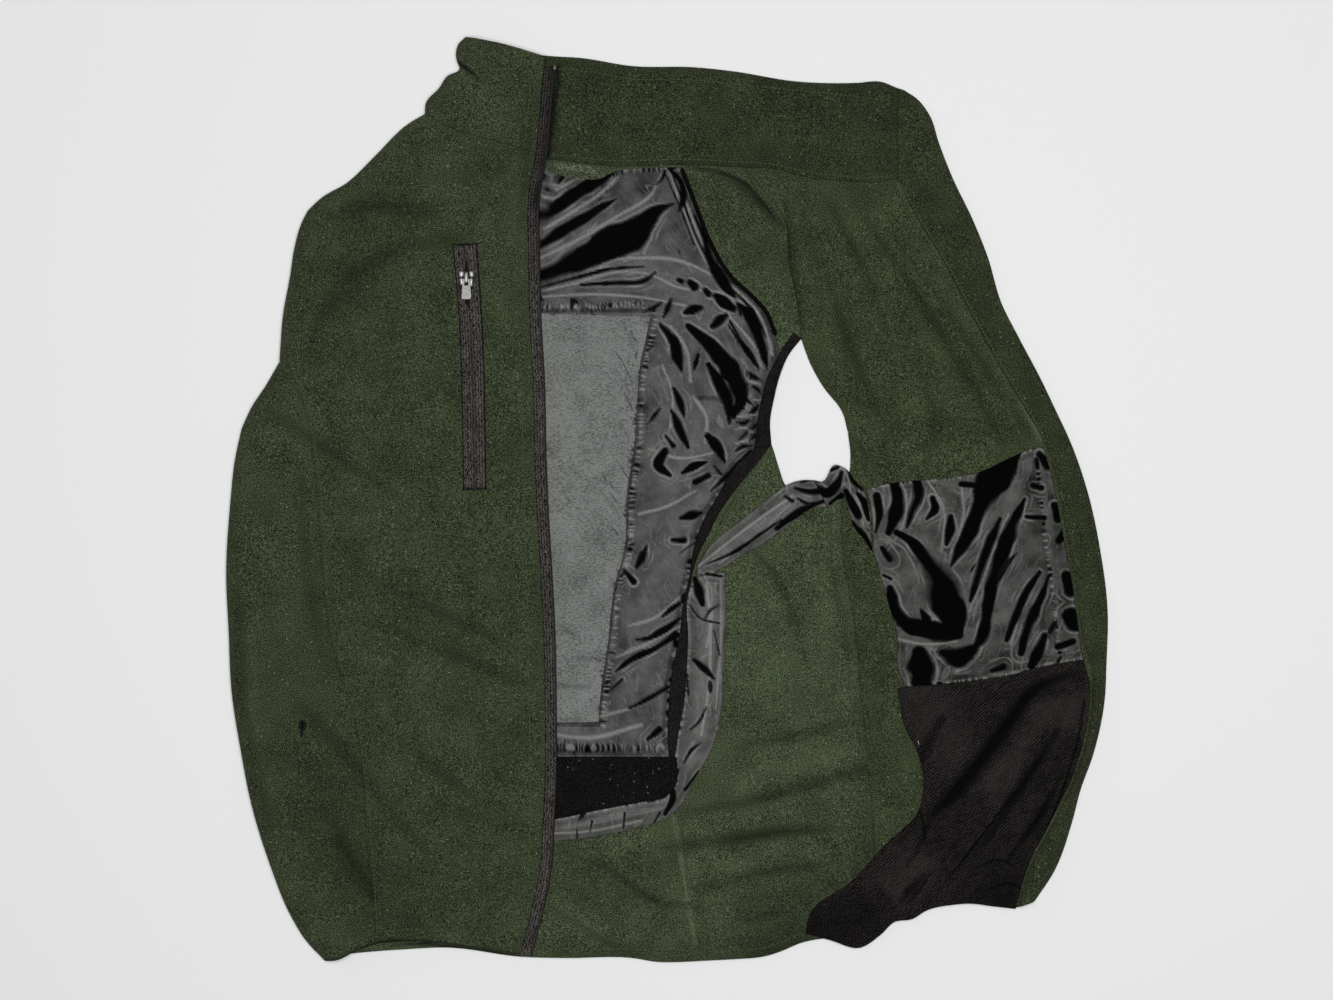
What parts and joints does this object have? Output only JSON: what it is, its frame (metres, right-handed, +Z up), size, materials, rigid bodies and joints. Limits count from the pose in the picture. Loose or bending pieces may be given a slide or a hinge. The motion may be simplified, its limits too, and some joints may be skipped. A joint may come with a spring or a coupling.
{
  "type": "heated fleece vest laid open",
  "caption": "Fleece zip vest lying on its back, left front opened to show lining, heater pads and pocket bag.",
  "frame": {"origin": "middle of the laid-out vest's outline, on the surface it lies on", "axes": "+Z up from the surface, +Y from hem to collar, +X to the side where the opened left front lies"},
  "size_m": [0.6786, 0.7116, 0.0192],
  "materials": {
    "fleece_outer": "brushed polyester fleece, dark olive green",
    "fleece_inner": "brushed polyester fleece, inner face, dark olive green",
    "fleece_black": "brushed polyester fleece, black",
    "zip_tape": "woven polyester zip tape, brown black",
    "taffeta_grey": "glossy polyester taffeta, dark grey",
    "satin_black": "glossy polyester satin, black",
    "pad_grey": "matt woven pad cover, mid grey",
    "binding_black": "knitted binding tape, black",
    "tricot_black": "brushed tricot, black",
    "zinc_nickel": "nickel plated zinc casting",
    "zinc_black": "black painted zinc casting"
  },
  "bodies": {
    "root": {"back_centre": "fleece_inner", "back_side_left": "fleece_inner", "back_side_right": "fleece_inner", "front_left_centre": "fleece_inner", "front_left_side": "fleece_inner", "front_right_centre": "fleece_outer", "front_right_side": "fleece_outer", "collar_back": "fleece_inner", "collar_right": "fleece_outer", "storm_flap": "fleece_inner", "neck_tab": "fleece_outer", "front_zip_left": "zip_tape", "front_zip_right": "zip_tape", "chest_zip_tape": "zip_tape", "front_slider": "zinc_black", "hand_slider": "zinc_black", "chest_slider": "zinc_nickel", "lining_back": "taffeta_grey", "channel_lower": "taffeta_grey", "channel_upper": "taffeta_grey", "channel_twist": "taffeta_grey", "heater_pad": "pad_grey", "heater_patch_left": "satin_black", "band_lower": "fleece_black", "lining_binding": "binding_black", "armhole_binding_left": "binding_black", "lining_piping": "binding_black", "pocket_bag_left": "tricot_black"},
    "chest_pull": {"chest_pull": "zinc_nickel"},
    "hand_pull": {"hand_pull": "zinc_black"}
  },
  "joints": [
    {"name": "chest_pull_hinge", "type": "hinge", "parent": "root", "child": "chest_pull", "pos_m": [-0.154, 0.169, 0.01665], "axis": [-1, 0, 0], "range_deg": [0, 150]},
    {"name": "hand_pull_hinge", "type": "hinge", "parent": "root", "child": "hand_pull", "pos_m": [-0.28, -0.172, 0.01346], "axis": [-1, 0, 0], "range_deg": [0, 150]}
  ]
}
